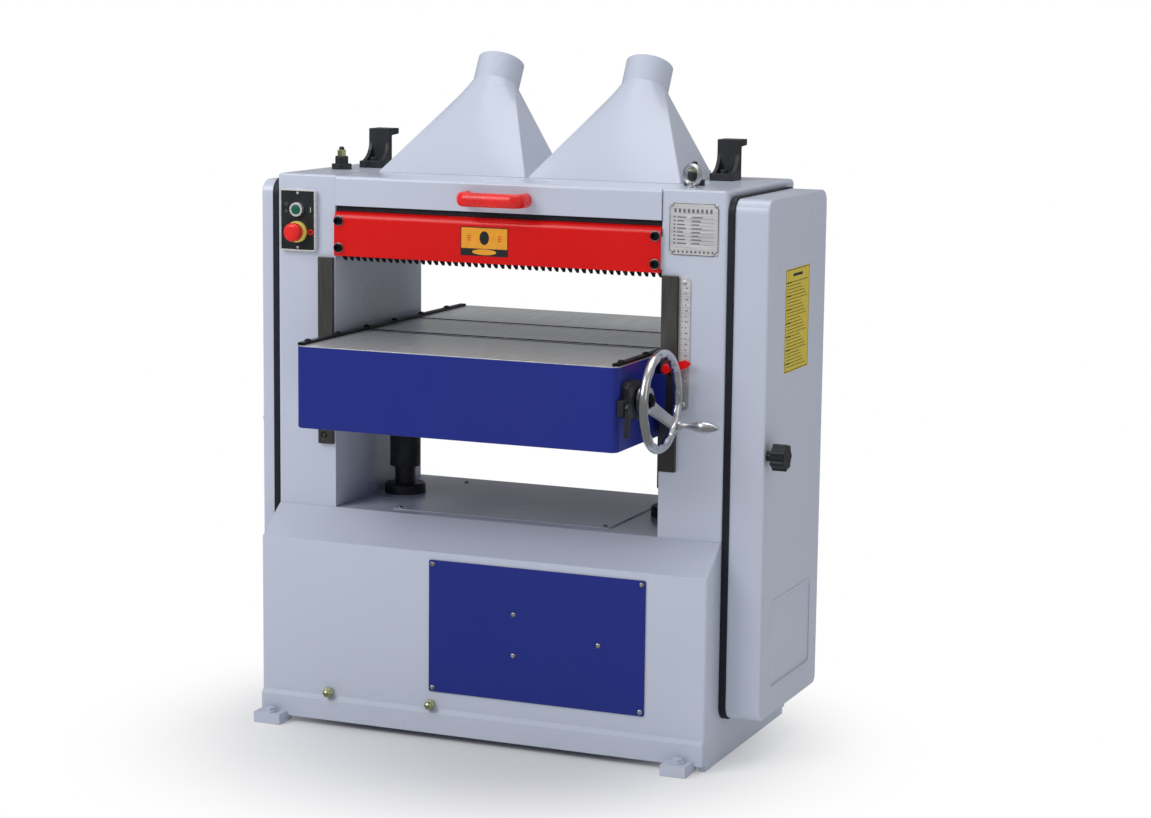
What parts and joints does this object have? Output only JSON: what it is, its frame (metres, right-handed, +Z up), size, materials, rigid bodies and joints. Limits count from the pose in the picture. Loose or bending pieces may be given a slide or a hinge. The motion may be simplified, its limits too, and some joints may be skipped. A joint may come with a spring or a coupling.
{
  "type": "thickness planer",
  "caption": "Wide cast thickness planer with a handwheel-raised table, roller feed, hinged hood with two dust outlets, red guard and hinged side doors.",
  "frame": {"origin": "on the floor, midway between the columns, below their front faces", "axes": "+Z up, +Y along the feed from the infeed to the outfeed side, +X towards the belt door"},
  "size_m": [1.0455, 0.741, 1.2584],
  "materials": {
    "body_paint": "gloss light blue-grey enamel",
    "blue_paint": "gloss deep blue enamel",
    "red_paint": "gloss red enamel",
    "red_plastic": "moulded gloss red",
    "black_cast": "black stoved enamel on iron",
    "rubber": "matte black",
    "table_iron": "blue enamel sides, ground iron top",
    "ground_steel": "ground dark steel",
    "steel": "machined steel",
    "dark_steel": "black oxide steel",
    "chrome": "polished chrome",
    "aluminium": "satin engraved aluminium",
    "zinc_yellow": "yellow passivated zinc",
    "zinc": "bright zinc",
    "black_plastic": "fine satin moulding",
    "green_plastic": "gloss green",
    "yellow_plastic": "satin yellow",
    "belt_rubber": "cloth-faced rubber",
    "motor_paint": "satin grey-blue"
  },
  "bodies": {
    "frame": {"base_cabinet": "body_paint", "base_top_plate": "body_paint", "access_panel": "blue_paint", "cover_screws": "zinc", "dome_nuts": "zinc_yellow", "column_left": "body_paint", "column_right": "body_paint", "rear_tie": "body_paint", "guide_strips": "ground_steel", "scale_plate": "aluminium", "name_plate": "aluminium", "control_box": "black_plastic", "control_frame": "aluminium", "estop_collar": "yellow_plastic", "rubber_seals": "rubber", "door_hinges": "steel", "guard": "red_paint", "guard_screws": "dark_steel", "head_bars": "steel", "head_bearings": "black_cast", "feed_gearbox": "black_cast", "feed_chain": "dark_steel", "motor": "motor_paint", "drive_belts": "belt_rubber", "top_brackets": "black_cast", "pressure_adjusters": "black_cast", "eye_bolt": "zinc", "nut_housings": "black_cast"},
    "handwheel": {"handwheel": "chrome", "wheel_nut": "dark_steel"},
    "cutterhead": {"cutterhead": "steel", "cutter_pulley": "black_cast"},
    "hood": {"hood": "body_paint", "hood_handle": "red_plastic", "funnel_left": "body_paint", "funnel_right": "body_paint"},
    "table": {"table": "table_iron", "table_rails": "dark_steel", "guide_shoes": "black_cast", "pointer": "red_paint", "wheel_bearing": "black_cast"},
    "wheel_grip": {"wheel_grip": "chrome"},
    "lock_lever": {"lock_lever": "black_cast"},
    "long_shaft": {"long_shaft": "steel"},
    "cross_shaft": {"cross_shaft": "steel"},
    "screw_left": {"screw_left": "steel"},
    "screw_right": {"screw_right": "steel"},
    "bed_roller_front": {"bed_roller_front": "steel"},
    "bed_roller_rear": {"bed_roller_rear": "steel"},
    "motor_pulley": {"motor_pulley": "black_cast"},
    "infeed_roller": {"infeed_roller": "steel"},
    "outfeed_roller": {"outfeed_roller": "steel"},
    "gearbox_sprocket": {"gearbox_sprocket": "steel"},
    "kickback_fingers": {"kickback_fingers": "dark_steel"},
    "belt_door": {"belt_door": "body_paint"},
    "door_knob": {"door_knob": "black_plastic"},
    "chain_cover": {"chain_cover": "body_paint"},
    "cover_latch": {"cover_latch": "zinc"},
    "start_button": {"start_button": "green_plastic"},
    "estop_button": {"estop_button": "red_plastic"}
  },
  "joints": [
    {"name": "table_lift", "type": "slide", "parent": "frame", "child": "table", "axis": [0, 0, 1], "range_m": [-0.0601, 0.1251]},
    {"name": "handwheel_turn", "type": "hinge", "parent": "table", "child": "handwheel", "pos_m": [0.3685, -0.109, 0.67], "axis": [1, 0, 0], "range_deg": [-3600, 7500]},
    {"name": "grip_spin", "type": "hinge", "parent": "handwheel", "child": "wheel_grip", "pos_m": [0.3685, -0.04276, 0.61917], "axis": [1, 0, 0], "continuous": true},
    {"name": "lock_lever_turn", "type": "hinge", "parent": "table", "child": "lock_lever", "pos_m": [0.332, -0.17, 0.663], "axis": [1, 0, 0], "range_deg": [-60, 20]},
    {"name": "long_shaft_turn", "type": "hinge", "parent": "table", "child": "long_shaft", "pos_m": [0.2, 0, 0.67], "axis": [0, 1, 0], "range_deg": [-7505, 3605]},
    {"name": "cross_shaft_turn", "type": "hinge", "parent": "table", "child": "cross_shaft", "pos_m": [0, 0.2, 0.67], "axis": [1, 0, 0], "range_deg": [-7505, 3605]},
    {"name": "screw_right_turn", "type": "hinge", "parent": "table", "child": "screw_right", "pos_m": [0.278, 0.2, 0.5], "axis": [0, 0, 1], "range_deg": [-3605, 7505]},
    {"name": "screw_left_turn", "type": "hinge", "parent": "table", "child": "screw_left", "pos_m": [-0.278, 0.2, 0.5], "axis": [0, 0, 1], "range_deg": [-7505, 3605]},
    {"name": "bed_roller_front_spin", "type": "hinge", "parent": "table", "child": "bed_roller_front", "pos_m": [0, 0.088, 0.7103], "axis": [1, 0, 0], "continuous": true},
    {"name": "bed_roller_rear_spin", "type": "hinge", "parent": "table", "child": "bed_roller_rear", "pos_m": [0, 0.295, 0.7103], "axis": [1, 0, 0], "continuous": true},
    {"name": "cutterhead_spin", "type": "hinge", "parent": "frame", "child": "cutterhead", "pos_m": [0, 0.186, 0.925], "axis": [1, 0, 0], "continuous": true},
    {"name": "motor_spin", "type": "hinge", "parent": "frame", "child": "motor_pulley", "pos_m": [0.48, 0.072, 0.205], "axis": [1, 0, 0], "continuous": true},
    {"name": "infeed_spin", "type": "hinge", "parent": "frame", "child": "infeed_roller", "pos_m": [0, 0.088, 0.91], "axis": [1, 0, 0], "continuous": true},
    {"name": "outfeed_spin", "type": "hinge", "parent": "frame", "child": "outfeed_roller", "pos_m": [0, 0.295, 0.91], "axis": [1, 0, 0], "continuous": true},
    {"name": "gearbox_spin", "type": "hinge", "parent": "frame", "child": "gearbox_sprocket", "pos_m": [-0.46, 0.186, 0.76], "axis": [1, 0, 0], "continuous": true},
    {"name": "fingers_swing", "type": "hinge", "parent": "frame", "child": "kickback_fingers", "pos_m": [0, 0.012, 0.915], "axis": [1, 0, 0], "range_deg": [0, 45]},
    {"name": "hood_lift", "type": "hinge", "parent": "frame", "child": "hood", "pos_m": [0, 0.358, 1.037], "axis": [-1, 0, 0], "range_deg": [0, 75]},
    {"name": "belt_door_swing", "type": "hinge", "parent": "frame", "child": "belt_door", "pos_m": [0.463, 0.35, 0.55], "axis": [0, 0, 1], "range_deg": [0, 100]},
    {"name": "door_knob_turn", "type": "hinge", "parent": "belt_door", "child": "door_knob", "pos_m": [0.54, 0.022, 0.565], "axis": [1, 0, 0], "range_deg": [0, 90]},
    {"name": "chain_cover_swing", "type": "hinge", "parent": "frame", "child": "chain_cover", "pos_m": [-0.463, 0.35, 0.55], "axis": [0, 0, -1], "range_deg": [0, 100]},
    {"name": "cover_latch_turn", "type": "hinge", "parent": "chain_cover", "child": "cover_latch", "pos_m": [-0.48, 0.022, 0.565], "axis": [-1, 0, 0], "range_deg": [0, 90]},
    {"name": "start_press", "type": "slide", "parent": "frame", "child": "start_button", "axis": [0, 1, 0], "range_m": [0, 0.003], "stiffness_N_per_m": 400, "springref_m": -0.002},
    {"name": "estop_press", "type": "slide", "parent": "frame", "child": "estop_button", "axis": [0, 1, 0], "range_m": [0, 0.004], "stiffness_N_per_m": 600, "springref_m": -0.002}
  ],
  "couplings": [
    {"joint": "table_lift", "follows": "handwheel_turn", "m_per_rad": 0.00095493},
    {"joint": "long_shaft_turn", "follows": "handwheel_turn", "ratio": -1},
    {"joint": "cross_shaft_turn", "follows": "handwheel_turn", "ratio": -1},
    {"joint": "screw_right_turn", "follows": "handwheel_turn", "ratio": 1},
    {"joint": "screw_left_turn", "follows": "handwheel_turn", "ratio": -1},
    {"joint": "motor_spin", "follows": "cutterhead_spin", "ratio": 0.67603},
    {"joint": "outfeed_spin", "follows": "infeed_spin", "ratio": 1},
    {"joint": "gearbox_spin", "follows": "infeed_spin", "ratio": 1}
  ]
}
